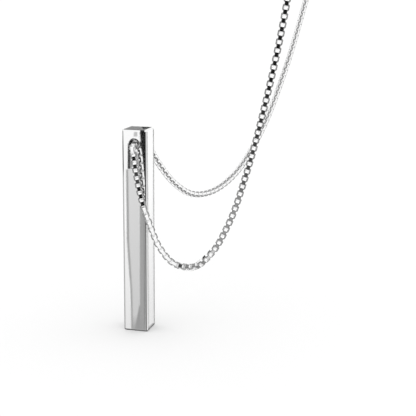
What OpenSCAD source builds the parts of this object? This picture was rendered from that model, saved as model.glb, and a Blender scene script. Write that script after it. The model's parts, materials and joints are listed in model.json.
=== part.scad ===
// Bar pendant on a box chain: a square metal bar, hung upright by a round cross hole near its top.

/* [Bar] */
// Width of each of the four long faces
bar_w = 4.9; // [4.3:0.1:5]
// Length from the foot to the top
bar_l = 40; // [30:0.5:50]
// Rounding of the long edges and of the rims at both ends
edge_r = 0.35; // [0.15:0.05:0.5]

/* [Chain hole] */
// Diameter of the hole from the front face to the back face
hole_d = 2; // [1.9:0.05:2.6]
// Distance from the top of the bar down to the middle of the hole
hole_drop = 2.7; // [2:0.1:6]
// Width of the polished bevel round each mouth of the hole
mouth_bevel = 0.1; // [0.05:0.05:0.3]

/* [Chain] */
// Width across the flats of the box chain
chain_w = 1.2; // [0.8:0.05:1.25]
// Outer diameter of the soldered eye on each end of the chain
eye_d = 2.2; // [2:0.1:3]
// Wire diameter of those eyes
eye_wire = 0.5; // [0.4:0.05:0.55]

/* [Rings] */
// Outer diameter of the end ring and of the jump ring
ring_d = 3.6; // [3.4:0.1:5]
// Wire diameter of both rings
ring_wire = 0.7; // [0.5:0.05:0.8]

/* [Clasp] */
// Outer diameter of the clasp's ring
clasp_d = 6; // [5.5:0.1:8]
// Thickness of the clasp's ring
clasp_wire = 1.2; // [0.9:0.05:1.4]
// Outer diameter of the small eye soldered on the clasp
clasp_eye_d = 2.5; // [2.4:0.1:3.5]
// Wire diameter of the clasp's eye
clasp_eye_wire = 0.6; // [0.4:0.05:0.6]
// Diameter of the thumb knob
knob_d = 1; // [0.7:0.05:1.2]
// Height of the thumb knob above the clasp's ring
knob_l = 0.8; // [0.5:0.05:1.5]

/* [Fits] */
// Gap between rings that hang in each other
link_gap = 0.1; // [0.05:0.05:0.3]

/* [Hidden] */

// Facets on exact rounds, and on the corners of the bar
round_fn = 48;
corner_fn = 32;
// Angle between the levels that round off a rim, and the angle of the level at its flat end
rim_step = 18;
rim_end = 72;
// How far a cutting tool runs past what it cuts
overcut = 1;

// Centre radius of each ring's wire
eye_r = (eye_d - eye_wire) / 2;
ring_r = (ring_d - ring_wire) / 2;
clasp_r = (clasp_d - clasp_wire) / 2;
clasp_eye_r = (clasp_eye_d - clasp_eye_wire) / 2;

// Distance between the centres of two rings pulled tight in each other, from their centre radii and wires
function hooked(r1, wire1, r2, wire2) = r1 + r2 - (wire1 + wire2) / 2 - link_gap;

// The chain's front end and, in a straight line along +Y from it, what closes the loop
chain_start = [40, 22.8, 139];
end_ring_y = eye_r + hooked(eye_r, eye_wire, ring_r, ring_wire);
clasp_y = end_ring_y + hooked(ring_r, ring_wire, clasp_r, clasp_wire);
clasp_eye_y = clasp_y + clasp_d / 2 + clasp_eye_r - clasp_eye_wire / 2;
jump_ring_y = clasp_eye_y + hooked(clasp_eye_r, clasp_eye_wire, ring_r, ring_wire);
chain_end_y = jump_ring_y + hooked(ring_r, ring_wire, eye_r, eye_wire) + eye_r;
chain_end = chain_start + [0, chain_end_y, 0];

// The origin, where the loop hangs under the clasp, measured from the middle of the hole in the bar
hang = chain_start + [0, clasp_y, -clasp_d / 2];

// The chain's route from its front end to its back end, measured from the middle of the hole in the bar
front_strand = [
    [39.5, 8, 134.5], [38.3, -5.4, 117], [36.2, -11.2, 92], [33.2, -10.6, 60],
    [29.8, -8.1, 26.7], [26.3, -7.5, 9.4], [22.8, -6.9, -4], [19.5, -6.3, -13.5],
    [16.1, -5.7, -19.4], [12.4, -5.1, -22.5], [8.5, -4.4, -22.3], [5.5, -3.95, -19.5],
    [3.5, -3.6, -15.4], [2, -3.35, -11.6], [1.15, -3.45, -8], [0.7, -3.85, -4.6],
];
through_hole = [
    [0.4, -3.95, -2.2], [0.15, -3.75, -0.9], [0, -2.35, -0.25], [0, 2.35, -0.25], [0.5, 4.65, -1.8],
];
back_strand = [
    [1.6, 7.8, -5.5], [3.3, 12, -9.9], [5.4, 17.4, -13.2], [8.1, 24.7, -14],
    [11, 32.2, -11.7], [14.6, 41.5, -4], [18.2, 50.9, 9.3], [21.5, 59.4, 26.2],
    [26, 68.2, 50], [30.6, 73, 76], [35.2, 71.3, 102], [38.6, 60.8, 125.5], [39.8, 47.8, 136],
];
route = concat([chain_start], front_strand, through_hole, back_strand, [chain_end]);
last = len(route) - 1;
// Both ends of the chain run into the line of the clasp
end_heading = [0, -1, 0];

// The chain's form: sides round it, and the most that it turns or runs between two rings of points
tube_sides = 8;
tube_r = chain_w / 2 / cos(180 / tube_sides);
ring_turn = 14;
ring_gap = 12;

function unit(v) = v / norm(v);

// Heading of the route at its point i, from the spans on both sides, the shorter one counting more
function heading(i) = i == 0 || i == last ? end_heading
    : let (before = route[i] - route[i - 1], after = route[i + 1] - route[i])
      (unit(before) * norm(after) + unit(after) * norm(before)) / (norm(before) + norm(after));

// Place on the smooth curve through the route, a share t of the way along span i
function on_span(i, t) =
    let (p = route[i], q = route[i + 1], reach = norm(q - p))
    p * (2 * t ^ 3 - 3 * t ^ 2 + 1) + heading(i) * reach * (t ^ 3 - 2 * t ^ 2 + t)
    + q * (3 * t ^ 2 - 2 * t ^ 3) + heading(i + 1) * reach * (t ^ 3 - t ^ 2);

// Number of rings on span i: enough for its bend and for its length
function span_rings(i) = max(
    ceil(acos(min(1, unit(heading(i)) * unit(heading(i + 1)))) / ring_turn),
    ceil(norm(route[i + 1] - route[i]) / ring_gap));

// Centres of the rings of points, the way the chain runs there, and a direction square to it without twist
spine = [for (i = [0:last - 1]) let (n = span_rings(i)) for (k = [0:n - 1]) on_span(i, k / n), route[last]];
flow = [for (k = [0:len(spine) - 1])
    k == 0 || k == len(spine) - 1 ? end_heading : unit(spine[k + 1] - spine[k - 1])];
function turned(side, k) = k < len(flow) ? unit(side - (side * flow[k]) * flow[k]) : side;
sides = [for (k = 0, side = [1, 0, 0]; k < len(flow); side = turned(side, k + 1), k = k + 1) side];

// A closed ring of round wire in the XY plane
module wire_ring(radius, wire) {
    rotate_extrude($fn = round_fn) translate([radius, 0]) circle(d = wire, $fn = round_fn);
}

// Places what closes the loop: a distance along the line of the clasp
module on_clasp_line(distance) {
    translate(chain_start - hang + [0, distance, 0]) children();
}

// A post that narrows in levels towards its ends, one for each long edge of the bar
module rounded_post() {
    for (a = [0:rim_step:rim_end])
        cylinder(r = edge_r * cos(a), h = bar_l - 2 * edge_r * (1 - sin(a) / sin(rim_end)), center = true,
            $fn = corner_fn);
}

module bar_body() {
    inset = bar_w / 2 - edge_r;
    hull() for (x = [-inset, inset], y = [-inset, inset]) translate([x, y, 0]) rounded_post();
}

module chain_hole() {
    rotate([90, 0, 0]) {
        cylinder(d = hole_d, h = bar_w + overcut, center = true, $fn = round_fn);
        for (end = [0, 1]) mirror([0, 0, end])
            translate([0, 0, bar_w / 2 - mouth_bevel])
                cylinder(d1 = hole_d, d2 = hole_d + 4 * mouth_bevel, h = 2 * mouth_bevel, $fn = round_fn);
    }
}

module bar() {
    color("silver") translate(-hang) difference() {
        translate([0, 0, hole_drop - bar_l / 2]) bar_body();
        chain_hole();
    }
}

// The chain's outer form, swept along its route
module chain_form() {
    corners = [for (j = [0:tube_sides - 1])
        let (a = (j + 0.5) * 360 / tube_sides) tube_r * [cos(a), sin(a)]];
    rings = len(spine);
    points = [for (k = [0:rings - 1]) for (c = corners)
        spine[k] + c[0] * sides[k] + c[1] * cross(flow[k], sides[k])];
    walls = [for (k = [0:rings - 2], j = [0:tube_sides - 1])
        let (a = k * tube_sides + j, b = k * tube_sides + (j + 1) % tube_sides)
        each [[b, a, b + tube_sides], [b + tube_sides, a, a + tube_sides]]];
    first_cap = [for (j = [0:tube_sides - 1]) j];
    last_cap = [for (j = [tube_sides - 1:-1:0]) (rings - 1) * tube_sides + j];
    polyhedron(points, concat([first_cap], walls, [last_cap]));
}

module chain() {
    color("gainsboro") {
        translate(-hang) chain_form();
        for (y = [eye_r, chain_end_y - eye_r])
            on_clasp_line(y) rotate([0, 90, 0]) wire_ring(eye_r, eye_wire);
    }
}

module end_ring() {
    color("silver") on_clasp_line(end_ring_y) wire_ring(ring_r, ring_wire);
}

module jump_ring() {
    color("silver") on_clasp_line(jump_ring_y) wire_ring(ring_r, ring_wire);
}

// A plain spring ring: the ring, the eye soldered to it and the thumb knob on top
module clasp() {
    color("silver") {
        on_clasp_line(clasp_y) {
            rotate([0, 90, 0]) wire_ring(clasp_r, clasp_wire);
            translate([0, 0, clasp_r]) cylinder(d = knob_d, h = clasp_wire / 2 + knob_l, $fn = round_fn);
        }
        on_clasp_line(clasp_eye_y) rotate([0, 90, 0]) wire_ring(clasp_eye_r, clasp_eye_wire);
    }
}

bar();
chain();
end_ring();
clasp();
jump_ring();
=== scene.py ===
# Looks of a bar pendant on a box chain: a polished square bar that stands on its foot, the chain that
# runs through it and the clasp that closes the chain, on a white studio floor.
import json
import math

import bmesh
import bpy
from mathutils import Matrix, Vector


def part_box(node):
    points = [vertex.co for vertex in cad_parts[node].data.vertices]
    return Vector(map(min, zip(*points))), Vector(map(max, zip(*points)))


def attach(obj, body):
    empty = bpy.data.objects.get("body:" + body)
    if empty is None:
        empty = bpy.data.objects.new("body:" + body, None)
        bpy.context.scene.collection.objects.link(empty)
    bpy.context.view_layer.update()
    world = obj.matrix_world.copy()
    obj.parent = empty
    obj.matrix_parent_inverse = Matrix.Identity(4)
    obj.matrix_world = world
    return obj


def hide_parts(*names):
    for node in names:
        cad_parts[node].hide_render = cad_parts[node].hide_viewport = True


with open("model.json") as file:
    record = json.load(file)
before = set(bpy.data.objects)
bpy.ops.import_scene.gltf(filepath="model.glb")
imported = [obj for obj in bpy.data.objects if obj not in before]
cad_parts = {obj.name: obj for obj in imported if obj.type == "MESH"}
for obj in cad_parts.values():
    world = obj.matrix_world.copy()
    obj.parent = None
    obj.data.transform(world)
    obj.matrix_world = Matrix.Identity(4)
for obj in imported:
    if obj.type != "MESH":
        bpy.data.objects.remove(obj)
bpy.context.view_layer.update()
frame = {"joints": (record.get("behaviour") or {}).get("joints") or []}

# Lengths are in metres
MM = 0.001

# The bar and its hole, from the frame
BAR_LOW, BAR_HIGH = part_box("bar")
BAR_WIDTH = BAR_HIGH.x - BAR_LOW.x
BAR_LENGTH = BAR_HIGH.z - BAR_LOW.z
HOLE = Vector(frame["joints"][0]["pos_m"])
HOLE_RADIUS = 1.0 * MM
HOLE_SIDES = 64
EDGE_RADIUS = 0.35 * MM
EDGE_STEPS = 6
MOUTH_BEVEL = 0.12 * MM
MOUTH_STEPS = 3
# Distance from each rounded corner to the cut beside it
CORNER_CUT = 0.02 * MM

# One link of the box chain, and how far its neighbour hangs from it
LINK_WIDTH = 1.2 * MM
LINK_LENGTH = 1.24 * MM
LINK_PITCH = 0.742 * MM
LINK_CORNER = 0.24 * MM
STRIP_WIDTH = 0.72 * MM
STRIP_THICKNESS = 0.23 * MM
# Share of the strip's thickness that its outer edges are bevelled by
STRIP_BEVEL = 0.3
# How much too large a link is shaped
LINK_SCALE = 1000.0

# What closes the loop, strung along +Y from the chain's front end, with radii to the middle of the wire
EYE_RADIUS = 0.85 * MM
EYE_WIRE = 0.5 * MM
RING_RADIUS = 1.45 * MM
RING_WIRE = 0.7 * MM
CLASP_RADIUS = 2.4 * MM
CLASP_WIRE = 1.2 * MM
CLASP_EYE_RADIUS = 0.95 * MM
CLASP_EYE_WIRE = 0.6 * MM
KNOB_WIDTH = 1.0 * MM
KNOB_HEIGHT = 0.8 * MM
KNOB_SIDES = 24
LINK_GAP = 0.1 * MM
WIRE_SIDES = 16
RING_STEPS = 40

# The chain's route from its front end to its back end, in metres from the middle of the bar's hole
CHAIN_START = (0.04, 0.0228, 0.139)
CHAIN_END = (0.04, 0.0358, 0.139)
FRONT_STRAND = [
    (0.0395, 0.008, 0.1345), (0.0383, -0.0054, 0.117), (0.0362, -0.0112, 0.092),
    (0.0332, -0.0106, 0.06), (0.0298, -0.0081, 0.0267), (0.0263, -0.0075, 0.0094),
    (0.0228, -0.0069, -0.004), (0.0195, -0.0063, -0.0135), (0.0161, -0.0057, -0.0194),
    (0.0124, -0.0051, -0.0225), (0.0085, -0.0044, -0.0223), (0.0055, -0.00395, -0.0195),
    (0.0035, -0.0036, -0.0154), (0.002, -0.00335, -0.0116), (0.00115, -0.00345, -0.008),
    (0.0007, -0.00385, -0.0046),
]
THROUGH_HOLE = [
    (0.0004, -0.00395, -0.0022), (0.00015, -0.00375, -0.0009), (0.0, -0.00235, -0.00025),
    (0.0, 0.00235, -0.00025), (0.0005, 0.00465, -0.0018),
]
BACK_STRAND = [
    (0.0016, 0.0078, -0.0055), (0.0033, 0.012, -0.0099), (0.0054, 0.0174, -0.0132),
    (0.0081, 0.0247, -0.014), (0.011, 0.0322, -0.0117), (0.0146, 0.0415, -0.004),
    (0.0182, 0.0509, 0.0093), (0.0215, 0.0594, 0.0262), (0.026, 0.0682, 0.05),
    (0.0306, 0.073, 0.076), (0.0352, 0.0713, 0.102), (0.0386, 0.0608, 0.1255),
    (0.0398, 0.0478, 0.136),
]
ROUTE = [Vector(p) for p in [CHAIN_START, *FRONT_STRAND, *THROUGH_HOLE, *BACK_STRAND, CHAIN_END]]
END_HEADING = Vector((0, -1, 0))

# How far the chain is twisted, in degrees, at distances along it
TWISTS = [
    (0.0, 75.0), (0.165, 76.5), (0.1745, 80.5), (0.1772, 81.0), (0.18, 61.0), (0.184, 46.0),
    (0.1865, 29.0), (0.188, 33.0), (0.191, 36.0), (0.2085, 35.0), (0.2115, 22.0), (0.2175, 15.0),
    (0.45, 15.0),
]

# The camera, as the photograph was taken: its place from the middle of the hole, its angles in degrees,
# and its lens and sensor in millimetres
CAMERA_FROM_HOLE = Vector((0.0624, -0.1797, 0.0292))
CAMERA_HEADING = 15.1
CAMERA_PITCH = -12.5
CAMERA_ROLL = 0.41
FOCAL_LENGTH = 86.54
SENSOR_WIDTH = 36.0

# The floor, the white sky over it and the lamp that throws no shadow
FLOOR_HEIGHT = BAR_LOW.z
FLOOR_SIZE = 40.0
FLOOR_TONES = (0.829, 0.837)
SKY_STRENGTH = 1.0
LAMP_STRENGTH = 1.7

# Softness of cards that only reflections see: the share of a card over which it fades, at its left, its
# right, its foot and its top
SHARP = (0, 0, 0, 0)
SOFT = (0.1, 0.1, 0.1, 0.1)
# Tilt between two rows of a curved card, in degrees
RIM_CARD_STEP = 5
# How far the dark sheet round the foot reaches and how high it lies; it is a painted reflection of the
# shade there
FOOT_CARD_REACH = 3.4 * MM
FOOT_CARD_LIFT = 0.02 * MM


# Small tools for modelling

def deselect_all():
    bpy.ops.object.select_all(action="DESELECT")


def named(name):
    """The object that was just added, under its own name."""
    piece = bpy.context.object
    piece.name = name
    piece.data.name = name
    return piece


def edit(piece):
    """Opens a piece for editing, with nothing selected."""
    deselect_all()
    bpy.context.view_layer.objects.active = piece
    piece.select_set(True)
    bpy.ops.object.mode_set(mode="EDIT")
    bpy.ops.mesh.select_all(action="DESELECT")


def select(piece, kind, test):
    """Selects the faces or edges that pass a test, on a piece that is open for editing."""
    mesh = bmesh.from_edit_mesh(piece.data)
    bpy.ops.mesh.select_mode(type=kind)
    for part in mesh.faces if kind == "FACE" else mesh.edges:
        part.select_set(test(part))
    mesh.select_flush_mode()
    bmesh.update_edit_mesh(piece.data)


def close(piece, smooth_angle):
    """Ends the editing of a piece: its normals point out, and it is smooth up to an angle in degrees."""
    bpy.ops.mesh.select_all(action="SELECT")
    bpy.ops.mesh.normals_make_consistent(inside=False)
    bpy.ops.object.mode_set(mode="OBJECT")
    bpy.ops.object.transform_apply(location=True, rotation=True, scale=True)
    bpy.ops.object.shade_smooth_by_angle(angle=math.radians(smooth_angle))


def apply_modifier(piece, kind, **settings):
    modifier = piece.modifiers.new(kind.title(), kind)
    for key, value in settings.items():
        setattr(modifier, key, value)
    bpy.context.view_layer.objects.active = piece
    bpy.ops.object.modifier_apply(modifier=modifier.name)


def keep_flats_flat(piece):
    """Lets the large faces set the normals, so that a flat stays a true mirror up to its rounded edge."""
    apply_modifier(piece, "WEIGHTED_NORMAL", mode="FACE_AREA", weight=100, thresh=0.0, keep_sharp=True)


def finished(piece, finish, body, replaces=()):
    """Gives a piece its finish, its body and the CAD nodes that it stands for."""
    piece.data.materials.clear()
    piece.data.materials.append(finish)
    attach(piece, body)
    if replaces:
        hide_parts(*replaces)


# The chain's course

def heading(i):
    """Heading of the route at its point i, from the spans on both sides, the shorter one counting more."""
    if i in (0, len(ROUTE) - 1):
        return END_HEADING
    before = ROUTE[i] - ROUTE[i - 1]
    after = ROUTE[i + 1] - ROUTE[i]
    both = before.normalized() * after.length + after.normalized() * before.length
    return both / (before.length + after.length)


def on_span(i, t):
    """Place on the smooth curve through the route, a share t of the way along span i."""
    p, q = ROUTE[i], ROUTE[i + 1]
    reach = (q - p).length
    from_ends = p * (2 * t ** 3 - 3 * t ** 2 + 1) + q * (3 * t ** 2 - 2 * t ** 3)
    from_headings = heading(i) * (t ** 3 - 2 * t ** 2 + t) + heading(i + 1) * (t ** 3 - t ** 2)
    return from_ends + from_headings * reach


class Course:
    """The chain's centre line, which gives the place at any distance along it."""

    STEPS_A_SPAN = 48

    def __init__(self):
        steps = self.STEPS_A_SPAN
        self.places = [on_span(i, k / steps) for i in range(len(ROUTE) - 1) for k in range(steps)]
        self.places.append(ROUTE[-1].copy())
        self.distances = [0.0]
        for before, after in zip(self.places, self.places[1:]):
            self.distances.append(self.distances[-1] + (after - before).length)
        self.length = self.distances[-1]
        self.step = 0

    def at(self, distance):
        """Place at a distance along the chain, measured from the middle of the hole."""
        distance = min(max(distance, 0.0), self.length)
        while self.step > 0 and self.distances[self.step] > distance:
            self.step -= 1
        while self.step < len(self.places) - 2 and self.distances[self.step + 1] < distance:
            self.step += 1
        low, high = self.distances[self.step], self.distances[self.step + 1]
        return self.places[self.step].lerp(self.places[self.step + 1], (distance - low) / (high - low))


def twist_at(distance):
    """How far the chain is twisted at a distance along it, in radians."""
    for (low, first), (high, second) in zip(TWISTS, TWISTS[1:]):
        if distance <= high:
            share = (distance - low) / (high - low)
            return math.radians(first + (second - first) * share * share * (3 - 2 * share))
    return math.radians(TWISTS[-1][1])


# Shader maths

class Value:
    """A number that varies over a surface. Python's operators on it add Math nodes."""

    def __init__(self, finish, socket):
        self.finish = finish
        self.socket = socket

    def __add__(self, other):
        return self.finish.maths("ADD", self, other)

    def __sub__(self, other):
        return self.finish.maths("SUBTRACT", self, other)

    def __mul__(self, other):
        return self.finish.maths("MULTIPLY", self, other)

    def __truediv__(self, other):
        return self.finish.maths("DIVIDE", self, other)

    def __pow__(self, other):
        return self.finish.maths("POWER", self, other)

    def __rsub__(self, other):
        return self.finish.maths("SUBTRACT", other, self)

    def __rtruediv__(self, other):
        return self.finish.maths("DIVIDE", other, self)

    __radd__ = __add__
    __rmul__ = __mul__

    def clamped(self):
        return self.finish.maths("MINIMUM", self.finish.maths("MAXIMUM", self, 0.0), 1.0)


class Finish:
    """A material in the making, with one method that adds any node."""

    def __init__(self, name):
        self.material = bpy.data.materials.new(name)
        self.material.use_nodes = True
        self.tree = self.material.node_tree
        self.tree.nodes.clear()
        self.output = self.node("ShaderNodeOutputMaterial")

    def node(self, kind, settings=None, inputs=None):
        """Adds a node, sets its settings, then gives its sockets their values or links."""
        added = self.tree.nodes.new(kind)
        for key, value in (settings or {}).items():
            setattr(added, key, value)
        for key, value in (inputs or {}).items():
            self.feed(added.inputs[key], value)
        return added

    def feed(self, socket, value):
        if isinstance(value, Value):
            value = value.socket
        if isinstance(value, bpy.types.NodeSocket):
            self.tree.links.new(value, socket)
        else:
            socket.default_value = value

    def maths(self, operation, *values):
        added = self.node("ShaderNodeMath", {"operation": operation}, dict(enumerate(values)))
        return Value(self, added.outputs[0])

    def place(self, scale=(1, 1, 1), centre=(0, 0, 0)):
        """Place on the piece, in metres, measured from a centre and then stretched."""
        coordinates = self.node("ShaderNodeTexCoord")
        centred = self.node(
            "ShaderNodeVectorMath", {"operation": "SUBTRACT"},
            {0: coordinates.outputs["Object"], 1: centre})
        scaled = self.node(
            "ShaderNodeVectorMath", {"operation": "MULTIPLY"}, {0: centred.outputs[0], 1: scale})
        return scaled.outputs[0]

    def axes(self, vector):
        """The three numbers of a vector."""
        split = self.node("ShaderNodeSeparateXYZ", inputs={0: vector})
        return [Value(self, output) for output in split.outputs]

    def noise(self, vector, scale, detail=2.0):
        """Soft noise between 0 and 1, with a number of blotches per metre."""
        added = self.node("ShaderNodeTexNoise", inputs={"Vector": vector, "Scale": scale, "Detail": detail})
        return Value(self, added.outputs["Fac"])

    def between(self, factor, first, second):
        """A colour that goes from the first to the second as the factor goes from 0 to 1."""
        added = self.node("ShaderNodeMix", {"data_type": "RGBA"}, {"Factor": factor, 6: first, 7: second})
        return added.outputs[2]

    def attribute(self, name):
        """A number that the mesh carries on its faces or points."""
        added = self.node("ShaderNodeAttribute", {"attribute_type": "GEOMETRY", "attribute_name": name})
        return Value(self, added.outputs["Fac"])

    def surface(self, **inputs):
        """Ends the material in the standard surface shader, with its sockets by name."""
        shader = self.node("ShaderNodeBsdfPrincipled", inputs=inputs)
        self.tree.links.new(shader.outputs[0], self.output.inputs["Surface"])
        return self.material


def grey(value):
    """A grey of this brightness, as seen on screen from 0 to 1."""
    linear = value / 12.92 if value < 0.04045 else ((value + 0.055) / 1.055) ** 2.4
    return (linear, linear, linear, 1.0)


# Finishes

def polished_bar_finish():
    """Mirror polish with the faint lengthwise drift of a hand-held buff, and a duller bore in the hole,
    painted darker as shade.
    """
    finish = Finish("polished_bar_metal")
    from_hole = finish.place(centre=HOLE)
    x, _, z = finish.axes(from_hole)
    across = (x * x + z * z) ** 0.5
    # 1 on the wall of the hole and 0 from its mouths' bevels outwards
    in_bore = ((HOLE_RADIUS * 1.04 - across) / (0.03 * MM)).clamped()
    drift = finish.noise(finish.place(scale=(1, 1, 0.15)), 900.0)
    rub = finish.noise(finish.place(scale=(1, 1, 0.04)), 9000.0, detail=3.0)
    bright = finish.between(drift, grey(0.975), grey(0.992))
    # The bore's darker grey is partly the duller unpolished metal and partly painted shade inside the hole
    colour = finish.between(in_bore, bright, grey(0.62))
    roughness = 0.012 + rub * 0.012 + in_bore * 0.22
    return finish.surface(**{"Base Color": colour, "Metallic": 1.0, "Roughness": roughness})


def chain_finish():
    """Bright tumbled links, duller inside where no polish reaches, and painted a little darker there as
    shade.
    """
    finish = Finish("chain_link_metal")
    inside = finish.attribute("inside")
    rim = finish.attribute("rim")
    across = finish.maths("ABSOLUTE", finish.attribute("across"))
    along = finish.maths("ABSOLUTE", finish.attribute("along"))
    weight = finish.node("ShaderNodeLayerWeight", inputs={"Blend": 0.5})
    turned_away = Value(finish, weight.outputs["Facing"])
    # The bends at both ends of a link are bright. The borders of its strip are painted dark, a painted
    # shade and reflection of its rounded edges, widest at a slant
    bend = ((along - 0.64) / 0.08).clamped() * (1 - rim) * (1 - inside)
    widened = across - 0.72 + turned_away * 0.3 * (1 - bend)
    painted_border_shade = (widened / 0.14).clamped() * (1 - rim) * (1 - inside)
    spread = finish.noise(finish.place(), 1300.0, detail=1.0)
    outer = finish.between(spread, grey(0.96), grey(0.995))
    # The rims, where the strips face their neighbours, are painted grey: painted shade between the links
    outer = finish.between(rim, outer, grey(0.68))
    outer = finish.between(bend, outer, grey(0.98))
    outer = finish.between(painted_border_shade * (1 - bend * 0.5), outer, grey(0.3))
    # The insides are painted a little darker grey: painted shade in the hollows of the links
    colour = finish.between(inside, outer, grey(0.88))
    roughness = 0.05 + spread * 0.05 + (inside + rim + bend * 0.8 + painted_border_shade * 0.8) * 0.4
    metallic = (1 - (rim * 0.6 + inside + bend * 0.8 + painted_border_shade * 0.8)).clamped()
    return finish.surface(**{"Base Color": colour, "Metallic": metallic, "Roughness": roughness})


def fittings_finish():
    """Polished wire with fine drawing lines that are almost rubbed out."""
    finish = Finish("clasp_and_ring_metal")
    tone = finish.noise(finish.place(), 600.0)
    rub = finish.noise(finish.place(), 7000.0, detail=3.0)
    colour = finish.between(tone, grey(0.94), grey(0.99))
    roughness = 0.03 + rub * 0.06
    return finish.surface(**{"Base Color": colour, "Metallic": 1.0, "Roughness": roughness})


def floor_finish():
    """Pale board with a tooth too fine to see, lit up to white by the sky and the lamp."""
    finish = Finish("studio_floor_board")
    tooth = finish.noise(finish.place(), 2500.0, detail=1.0)
    colour = finish.between(tooth, grey(FLOOR_TONES[0]), grey(FLOOR_TONES[1]))
    return finish.surface(**{"Base Color": colour, "Roughness": 0.9, "Specular IOR Level": 0.0})


def card_finish(name, brightness, low_brightness, softness):
    """A studio card that glows with a set brightness at its top and with low_brightness at its foot."""
    finish = Finish(name)
    sheet = finish.node("ShaderNodeTexCoord").outputs["UV"]
    u, v, _ = finish.axes(sheet)
    left, right, foot, top = softness
    mask = 1.0
    for share, fade in ((u, left), (1 - u, right), (v, foot), (1 - v, top)):
        if fade:
            mask = (share / fade).clamped() * mask
    colour = finish.between(v, grey(low_brightness), grey(brightness))
    glow = finish.node("ShaderNodeEmission", inputs={"Color": colour})
    clear = finish.node("ShaderNodeBsdfTransparent")
    mixed = finish.node("ShaderNodeMixShader", inputs={0: mask, 1: clear.outputs[0], 2: glow.outputs[0]})
    finish.tree.links.new(mixed.outputs[0], finish.output.inputs["Surface"])
    return finish.material


# The pieces

def make_bar(finish):
    """The bar: a block with rounded edges, drilled from the front face to the back face."""
    middle = (BAR_LOW + BAR_HIGH) / 2
    deselect_all()
    bpy.ops.mesh.primitive_cube_add(size=1, location=middle, scale=(BAR_WIDTH, BAR_WIDTH, BAR_LENGTH))
    bar = named("bar_body")
    bpy.ops.object.transform_apply(location=True, rotation=True, scale=True)
    edit(bar)
    bpy.ops.mesh.select_all(action="SELECT")
    bpy.ops.mesh.bevel(offset=EDGE_RADIUS, segments=EDGE_STEPS, profile=0.5, affect="EDGES")
    # A cut close to each corner keeps the corner's normals out of the long rounded edges
    for axis in range(3):
        out = Vector([1.0 if i == axis else 0.0 for i in range(3)])
        for end, way in ((BAR_LOW, 1), (BAR_HIGH, -1)):
            cut = end + out * way * (EDGE_RADIUS + CORNER_CUT)
            bpy.ops.mesh.select_all(action="SELECT")
            bpy.ops.mesh.bisect(plane_co=cut, plane_no=out, threshold=CORNER_CUT / 10)
    bpy.ops.object.mode_set(mode="OBJECT")

    deselect_all()
    bpy.ops.mesh.primitive_cylinder_add(
        vertices=HOLE_SIDES, radius=HOLE_RADIUS, depth=BAR_WIDTH * 1.5, location=HOLE,
        rotation=(math.pi / 2, 0, 0))
    drill = named("drill")
    apply_modifier(bar, "BOOLEAN", operation="DIFFERENCE", solver="EXACT", object=drill)
    bpy.data.objects.remove(drill)

    edit(bar)
    half = BAR_WIDTH / 2

    def on_mouth(edge):
        place = (edge.verts[0].co + edge.verts[1].co) / 2 - HOLE
        at_face = abs(abs(place.y) - half) < 0.01 * MM
        return at_face and math.hypot(place.x, place.z) < HOLE_RADIUS * 1.01

    select(bar, "EDGE", on_mouth)
    bpy.ops.mesh.bevel(offset=MOUTH_BEVEL, segments=MOUTH_STEPS, profile=0.5, affect="EDGES")
    close(bar, 40)
    keep_flats_flat(bar)
    finished(bar, finish, "pendant", ["bar"])


def make_link():
    """One link: a strip bent into a square ring, its hole along Y, with its outer edges bevelled.

    It is shaped LINK_SCALE times too large, because the normals of such small faces would be lost."""
    width, length = LINK_WIDTH * LINK_SCALE, LINK_LENGTH * LINK_SCALE
    strip, thickness = STRIP_WIDTH * LINK_SCALE, STRIP_THICKNESS * LINK_SCALE
    deselect_all()
    bpy.ops.mesh.primitive_cube_add(size=1, scale=(width, strip, length))
    link = named("link")
    bpy.ops.object.transform_apply(location=True, rotation=True, scale=True)

    edit(link)
    select(link, "EDGE", lambda e: abs(e.verts[0].co.y - e.verts[1].co.y) > strip / 2)
    bpy.ops.mesh.bevel(offset=LINK_CORNER * LINK_SCALE, segments=2, profile=0.5, affect="EDGES")

    # The hole, cut through from side to side
    select(link, "FACE", lambda f: abs(f.normal.y) > 0.9)
    bpy.ops.mesh.inset(thickness=thickness, use_individual=True)
    bpy.ops.mesh.delete(type="FACE")
    select(link, "EDGE", lambda e: e.is_boundary)
    bpy.ops.mesh.bridge_edge_loops()

    def on_rim(edge):
        middle = (edge.verts[0].co + edge.verts[1].co) / 2
        sides = sorted(abs(f.normal.y) for f in edge.link_faces)
        walls = [f.normal for f in edge.link_faces if abs(f.normal.y) < 0.5]
        outward = any(normal.dot(middle) > strip * 0.4 for normal in walls)
        return sides[0] < 0.5 < sides[1] and outward

    select(link, "EDGE", on_rim)
    bpy.ops.mesh.bevel(offset=thickness * STRIP_BEVEL, segments=1, affect="EDGES")
    close(link, 60)
    keep_flats_flat(link)

    inside = link.data.attributes.new("inside", "FLOAT", "FACE")
    rim = link.data.attributes.new("rim", "FLOAT", "FACE")
    across = link.data.attributes.new("across", "FLOAT", "POINT")
    along = link.data.attributes.new("along", "FLOAT", "POINT")
    for face in link.data.polygons:
        faces_in = Vector((face.center.x, 0, face.center.z)).dot(face.normal) < 0
        sideways = abs(face.normal.y)
        inside.data[face.index].value = 1.0 if faces_in and sideways < 0.3 else 0.0
        rim.data[face.index].value = 1.0 if sideways > 0.9 else 0.0
    for vertex in link.data.vertices:
        across.data[vertex.index].value = vertex.co.y / (strip / 2)
        along.data[vertex.index].value = vertex.co.z / (length / 2)
    return link


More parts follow.
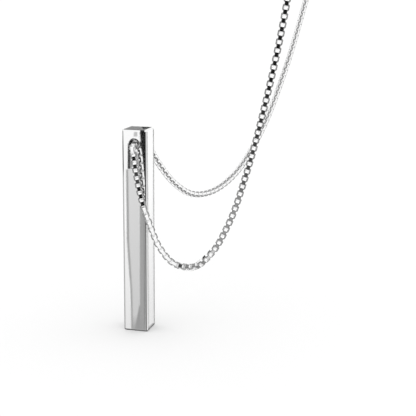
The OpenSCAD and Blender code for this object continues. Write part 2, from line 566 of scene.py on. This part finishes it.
def make_chain(finish):
    """The whole chain: links strung along the route, each turned a quarter from the one before."""
    link = make_link()
    course = Course()
    count = round(course.length / LINK_PITCH)
    pitch = course.length / count
    side = Vector((1, 0, 0))
    strung = []
    for k in range(count + 1):
        distance = k * pitch
        place = course.at(distance)
        flow = (course.at(distance + pitch / 2) - course.at(distance - pitch / 2)).normalized()
        side = (side - flow * side.dot(flow)).normalized()
        turn = twist_at(distance) + (0 if k % 2 else math.pi / 2)
        across = Matrix.Rotation(turn, 3, flow) @ side
        axes = Matrix((across, flow.cross(across), flow)).transposed().to_4x4()
        copy = link.copy()
        copy.data = link.data.copy()
        copy.data.transform(Matrix.Translation(place + HOLE) @ axes @ Matrix.Scale(1 / LINK_SCALE, 4))
        bpy.context.scene.collection.objects.link(copy)
        strung.append(copy)
    bpy.data.objects.remove(link)
    deselect_all()
    for copy in strung:
        copy.select_set(True)
    bpy.context.view_layer.objects.active = strung[0]
    bpy.ops.object.join()
    finished(named("chain_links"), finish, "necklace", ["chain"])


def ring_of_wire(name, centre, axis, radius, wire, start, sweep):
    """Round wire bent round an axis through a centre, from a start angle through a sweep, in degrees."""
    cosine, sine = math.cos(math.radians(start)), math.sin(math.radians(start))
    arm = Vector((cosine, sine, 0)) if axis.z else Vector((0, cosine, sine))
    flow = axis.cross(arm)
    deselect_all()
    bpy.ops.mesh.primitive_circle_add(
        vertices=WIRE_SIDES, radius=wire / 2, fill_type="NGON", location=centre + arm * radius,
        rotation=flow.to_track_quat("Z", "Y").to_euler())
    piece = named(name)
    bpy.ops.object.transform_apply(location=True, rotation=True, scale=True)
    edit(piece)
    bpy.ops.mesh.select_all(action="SELECT")
    bpy.ops.mesh.spin(steps=RING_STEPS, angle=-math.radians(sweep), center=centre, axis=axis)
    bpy.ops.mesh.select_all(action="SELECT")
    bpy.ops.mesh.remove_doubles(threshold=0.001 * MM)
    close(piece, 50)
    return piece


def hooked(radius, wire, next_radius, next_wire):
    """The way along +Y from the centre of a ring to that of the next ring, pulled tight in it."""
    return Vector((0, radius + next_radius - (wire + next_wire) / 2 - LINK_GAP, 0))


def make_fittings(finish):
    """Eyes on the chain's ends, both rings, and the spring ring clasp with its bolt, knob and eye."""
    start = Vector(CHAIN_START) + HOLE
    end = Vector(CHAIN_END) + HOLE
    along_x, along_z = Vector((1, 0, 0)), Vector((0, 0, 1))
    front_eye = start + Vector((0, EYE_RADIUS, 0))
    end_ring = front_eye + hooked(EYE_RADIUS, EYE_WIRE, RING_RADIUS, RING_WIRE)
    clasp = end_ring + hooked(RING_RADIUS, RING_WIRE, CLASP_RADIUS, CLASP_WIRE)
    side_by_side = CLASP_RADIUS + CLASP_WIRE / 2 + CLASP_EYE_RADIUS - CLASP_EYE_WIRE / 2
    clasp_eye = clasp + Vector((0, side_by_side, 0))
    jump_ring = clasp_eye + hooked(CLASP_EYE_RADIUS, CLASP_EYE_WIRE, RING_RADIUS, RING_WIRE)
    back_eye = end - Vector((0, EYE_RADIUS, 0))

    # Name, centre, axis, radius, wire, start angle, sweep and the CAD nodes that the ring stands for
    rings = [
        ("chain_eye_front", front_eye, along_x, EYE_RADIUS, EYE_WIRE, 180, 360, ()),
        ("chain_eye_back", back_eye, along_x, EYE_RADIUS, EYE_WIRE, 0, 360, ()),
        ("end_ring_wire", end_ring, along_z, RING_RADIUS, RING_WIRE, 20, 358, ["end_ring"]),
        ("jump_ring_wire", jump_ring, along_z, RING_RADIUS, RING_WIRE, 200, 358, ["jump_ring"]),
        ("clasp_tube", clasp, along_x, CLASP_RADIUS, CLASP_WIRE, 160, 300, ["clasp"]),
        ("clasp_bolt", clasp, along_x, CLASP_RADIUS, CLASP_WIRE * 0.72, 95, 75, ()),
        ("clasp_eye", clasp_eye, along_x, CLASP_EYE_RADIUS, CLASP_EYE_WIRE, 0, 360, ()),
    ]
    for *shape, nodes in rings:
        finished(ring_of_wire(*shape), finish, "necklace", nodes)

    knob_top = CLASP_RADIUS + CLASP_WIRE / 2 + KNOB_HEIGHT
    deselect_all()
    bpy.ops.mesh.primitive_cylinder_add(
        vertices=KNOB_SIDES, radius=KNOB_WIDTH / 2, depth=knob_top - CLASP_RADIUS,
        location=clasp + Vector((0, 0, (CLASP_RADIUS + knob_top) / 2)))
    knob = named("clasp_knob")
    bpy.ops.object.transform_apply(location=True, rotation=True, scale=True)
    edit(knob)
    select(knob, "FACE", lambda f: f.normal.z > 0.9)
    bpy.ops.mesh.bevel(offset=KNOB_WIDTH * 0.3, segments=4, profile=0.5, affect="EDGES")
    close(knob, 40)
    finished(knob, finish, "necklace")


# The studio

def make_camera():
    """Stands the camera where the photograph was taken from."""
    turn = (Matrix.Rotation(math.radians(CAMERA_HEADING), 4, "Z")
            @ Matrix.Rotation(math.radians(90 + CAMERA_PITCH), 4, "X")
            @ Matrix.Rotation(math.radians(CAMERA_ROLL), 4, "Z"))
    bpy.ops.object.camera_add(location=HOLE + CAMERA_FROM_HOLE, rotation=turn.to_euler())
    camera = bpy.context.object
    camera.data.lens = FOCAL_LENGTH
    camera.data.sensor_width = SENSOR_WIDTH
    camera.data.clip_start = 0.01
    camera.data.clip_end = 2 * FLOOR_SIZE
    bpy.context.scene.camera = camera


def make_floor(finish):
    """The floor under the bar. Reflections see the sky and the cards in its place."""
    deselect_all()
    bpy.ops.mesh.primitive_plane_add(size=FLOOR_SIZE, location=(HOLE.x, HOLE.y, FLOOR_HEIGHT))
    floor = named("studio_floor")
    bpy.ops.object.transform_apply(location=True, rotation=True, scale=True)
    floor.data.materials.append(finish)
    floor.visible_glossy = False


def only_reflected(card):
    """Hides a card from all but reflections."""
    for ray in ("visible_camera", "visible_diffuse", "visible_transmission", "visible_shadow"):
        setattr(card, ray, False)


def hang_card(name, corners, brightness, low_brightness=None, softness=SHARP):
    """A card that only reflections see. Its corners go from the low left one on through the low right."""
    deselect_all()
    bpy.ops.mesh.primitive_plane_add(size=1)
    card = named(name)
    order = (0, 1, 3, 2)
    for index, corner in zip(order, corners):
        card.data.vertices[index].co = corner
    low = brightness if low_brightness is None else low_brightness
    card.data.materials.append(card_finish(name + "_paint", brightness, low, softness))
    only_reflected(card)


def towards(azimuth, elevation, distance):
    """A place seen from the hole in a direction: azimuth 0 lies along -Y, and 90 along +X."""
    a, e = math.radians(azimuth), math.radians(elevation)
    way = Vector((math.sin(a) * math.cos(e), -math.cos(a) * math.cos(e), math.sin(e)))
    return HOLE + way * distance


def card_round(name, azimuths, elevations, distance, brightness, low_brightness=None, softness=SHARP):
    """A card that fills a stretch of azimuth and elevation round the hole."""
    (left, right), (low, high) = azimuths, elevations
    corners = [towards(left, low, distance), towards(right, low, distance),
               towards(right, high, distance), towards(left, high, distance)]
    hang_card(name, corners, brightness, low_brightness, softness)


def on_face(face, first, second):
    """A place on a face of the bar and the way out of that face.

    The place is measured from the middle of the hole, by two distances in millimetres."""
    half = BAR_WIDTH / 2
    first, second = first * MM, second * MM
    if face == "front":
        return Vector((first, -half, second)), Vector((0, -1, 0))
    if face == "side":
        return Vector((half, first, second)), Vector((1, 0, 0))
    return Vector((first, second, BAR_HIGH.z - HOLE.z)), Vector((0, 0, 1))


def seen_in_face(face, first, second, distance):
    """Where the camera looks by way of a place on a face of the bar, at a distance from that face."""
    place, out = on_face(face, first, second)
    mirrored = CAMERA_FROM_HOLE - out * 2 * (CAMERA_FROM_HOLE - place).dot(out)
    way = place - mirrored
    return HOLE + place + way * distance / way.dot(out)


def card_in_face(name, face, points, distance, brightness, low_brightness=None, softness=SHARP):
    """A card of four corners that shows in a face of the bar where its points say."""
    corners = [seen_in_face(face, first, second, distance) for first, second in points]
    hang_card(name, corners, brightness, low_brightness, softness)


def card_over_rim(name, left, right, tilts, distance, brightness):
    """A curved card that shows in the rounded rim between the front face and the top of the bar.

    It reaches over a stretch of the front face's width, in millimetres, and over a stretch of the rim's
    tilt, from 0 degrees at the front face to 90 at the top."""
    low, high = tilts
    rows = 1 + (high - low) // RIM_CARD_STEP
    deselect_all()
    bpy.ops.mesh.primitive_grid_add(x_subdivisions=1, y_subdivisions=rows - 1, size=1)
    card = named(name)
    in_order = sorted(card.data.vertices, key=lambda v: (round(v.co.y, 4), v.co.x))
    for index, vertex in enumerate(in_order):
        row, column = divmod(index, 2)
        tilt = math.radians(low + row * RIM_CARD_STEP)
        out = Vector((0, -math.cos(tilt), math.sin(tilt)))
        middle = Vector((
            (left, right)[column] * MM, EDGE_RADIUS - BAR_WIDTH / 2, BAR_HIGH.z - HOLE.z - EDGE_RADIUS))
        place = middle + out * EDGE_RADIUS
        to_camera = (CAMERA_FROM_HOLE - place).normalized()
        way = out * 2 * out.dot(to_camera) - to_camera
        vertex.co = HOLE + place + way * distance
    card.data.materials.append(card_finish(name + "_paint", brightness, brightness, SHARP))
    only_reflected(card)


def make_light():
    """A white sky, and a lamp that lightens the floor and the dull insides of the links."""
    world = bpy.data.worlds.new("studio_light")
    bpy.context.scene.world = world
    world.use_nodes = True
    background = world.node_tree.nodes["Background"]
    background.inputs["Color"].default_value = (1, 1, 1, 1)
    background.inputs["Strength"].default_value = SKY_STRENGTH
    bpy.ops.object.light_add(type="SUN", location=HOLE + Vector((0, 0, 1)))
    lamp = bpy.context.object
    lamp.name = "top_light"
    lamp.data.energy = LAMP_STRENGTH
    lamp.data.use_shadow = False
    lamp.visible_glossy = False
    bpy.context.scene.view_settings.view_transform = "Standard"
    # The polished metal throws no light back on the floor, so the foot gets its soft shadow
    bpy.context.scene.cycles.caustics_reflective = False


def hang_room_cards():
    """What the chain and the outlines of the bar reflect, on cards round the hole."""
    card_round("camera_side_card", (-17.5, 46), (-11.5, 4), 1.2, 0.08, 0.12, softness=(0, 0.1, 0.05, 0.05))
    card_round("camera_dark_card", (-3, 33), (-25, -10.5), 1.22, 0.1, 0.34, softness=(0.12, 0.12, 0.1, 0))
    card_round("camera_low_card", (-22, 9), (-33, -21.5), 1.2, 0.58, 0.6, softness=(0.15, 0.15, 0.15, 0.15))
    card_round("back_card", (140, 158), (-20, -6), 3.0, 0.35, softness=SOFT)
    card_round("far_back_card", (197, 250), (-24, 0), 3.0, 0.2, softness=(0.05, 0.1, 0.1, 0.1))
    card_round("upper_left_card", (-108, -56), (30, 58), 1.3, 0.5, 0.6, softness=SOFT)
    card_round("low_left_card", (-126, -111), (13, 23), 1.3, 0.5, softness=SOFT)
    card_round("high_spot_card", (-44, -29), (33, 43), 1.2, 0.25, softness=SOFT)
    card_round("under_card", (-10, 60), (-84, -44), 1.3, 0.55, softness=SOFT)
    card_round("edge_card", (50, 127), (-22, -4), 1.25, 0.8, 0.9)
    card_round("outline_low_card", (-161, -110), (-17.2, -5.5), 0.05, 0.05, softness=(0, 0, 0.22, 0.32))
    card_round("outline_high_card", (-110, -60), (-17.2, -5.5), 0.05, 0.05, softness=(0, 0, 0.22, 0.32))
    card_round("left_card", (-112, -30), (-24, 10), 1.3, 0.82, 0.7, softness=(0.05, 0.1, 0.05, 0.3))
    card_round("high_card", (40, 120), (38, 68), 1.3, 0.5, softness=SOFT)


def hang_bar_cards():
    """What the faces and the top rim of the bar reflect to the camera, strip by strip."""
    # Name, corners, distance, brightness at the top, brightness at the foot where it differs, and softness
    front_cards = [
        ("black_card", [(1.9, -6.2), (2.4, -6.2), (2.4, 2.6), (1.11, 2.6)], 0.45, 0.1),
        ("dark_line_card", [(1.85, -10), (2.05, -10), (2.05, -6.0), (1.85, -6.0)], 0.44, 0.4),
        ("left_strip_card", [(-2.4, -38.5), (-0.9, -38.5), (-1.6, -17), (-2.4, -17)], 0.65, 0.98, 0.9),
        ("panel_card", [(-0.8, -38.5), (0.8, -38.5), (0.95, -5.0), (-1.48, -5.0)], 0.6, 0.87, 0.8),
        ("band_card", [(0.8, -38.5), (2.4, -38.5), (2.4, -11.5), (1.0, -11.5)], 0.55, 0.64),
        ("band_edge_card", [(1.7, -38.5), (2.1, -38.5), (2.1, -11.5), (1.85, -11.5)], 0.5, 0.54),
        ("strip_card", [(-1.36, -4.9), (-0.84, -4.9), (-0.76, 0.0), (-1.24, 0.0)], 0.5, 0.1),
        ("upper_line_card", [(-1.66, -19), (-1.2, -19), (-1.26, -5), (-1.66, -5)], 0.5, 0.62),
        ("middle_line_card", [(-1.05, -29), (-0.66, -29), (-1.2, -19), (-1.66, -19)], 0.5, 0.64),
        ("lower_line_card", [(-0.92, -38.5), (-0.56, -38.5), (-0.66, -29), (-1.05, -29)], 0.5, 0.64, 0.66),
        ("foot_band_card", [(-0.5, -38.5), (0.9, -38.5), (0.9, -32), (0.75, -32)], 0.5, 0.61),
        ("gap_card", [(0.7, -0.9), (1.4, -0.9), (1.3, 0.45), (0.75, 0.45)], 0.5, 0.25),
        ("beside_strip_card", [(-0.9, -4.9), (-0.1, -4.9), (-0.2, -0.8), (-0.8, -0.8)], 0.52, 0.66),
        ("foot_shade_card", [(-1.0, -38.5), (2.1, -38.5), (2.1, -34), (-1.0, -34)], 0.4, 0.62,
         None, (0.1, 0, 0, 0.8)),
        ("patch_card", [(-0.2, 1.3), (0.75, 1.3), (0.75, 2.4), (0.0, 2.4)], 0.5, 0.74,
         None, (0.2, 0.2, 0.2, 0.2)),
    ]
    side_cards = [
        ("edge_line_card", [(-2.7, -38.5), (-1.8, -38.5), (-1.75, 2.6), (-2.7, 2.6)], 0.25, 0.6),
        ("outline_card", [(1.62, -38.5), (2.6, -38.5), (2.6, 2.6), (1.62, 2.6)], 0.25, 0.45),
        ("side_card", [(-2.6, -38.5), (2.6, -38.5), (2.6, 4), (-2.6, 4)], 0.3, 1.06, 0.91),
    ]
    top_cards = [
        ("top_card", [(-2.6, -2.6), (2.6, -2.6), (2.6, 2.6), (-2.6, 2.6)], 0.15, 0.54),
        ("top_spot_card", [(1.2, -0.8), (2.2, -0.8), (2.5, 2.6), (-0.3, 2.6)], 0.12, 0.03),
    ]
    for face, cards in (("front", front_cards), ("side", side_cards), ("top", top_cards)):
        for name, *card in cards:
            card_in_face(name, face, *card)
    card_over_rim("rim_card", -2.5, 2.3, (45, 90), 0.06, 0.54)
    card_over_rim("rim_shade_card", 1.25, 2.7, (0, 50), 0.05, 0.2)


def lay_foot_shadow_card():
    """A dark sheet close round the foot that only reflections see: a painted reflection of the shade in the
    gap at the foot.
    """
    foot = Vector((HOLE.x, HOLE.y, FLOOR_HEIGHT + FOOT_CARD_LIFT))
    sides = ((-1, -1), (1, -1), (1, 1), (-1, 1))
    corners = [foot + Vector((x, y, 0)) * FOOT_CARD_REACH for x, y in sides]
    hang_card("foot_shadow_card", corners, 0.3, softness=(0.12, 0.12, 0.12, 0.12))


make_camera()
make_floor(floor_finish())
make_light()
hang_room_cards()
hang_bar_cards()
lay_foot_shadow_card()
make_bar(polished_bar_finish())
make_chain(chain_finish())
make_fittings(fittings_finish())
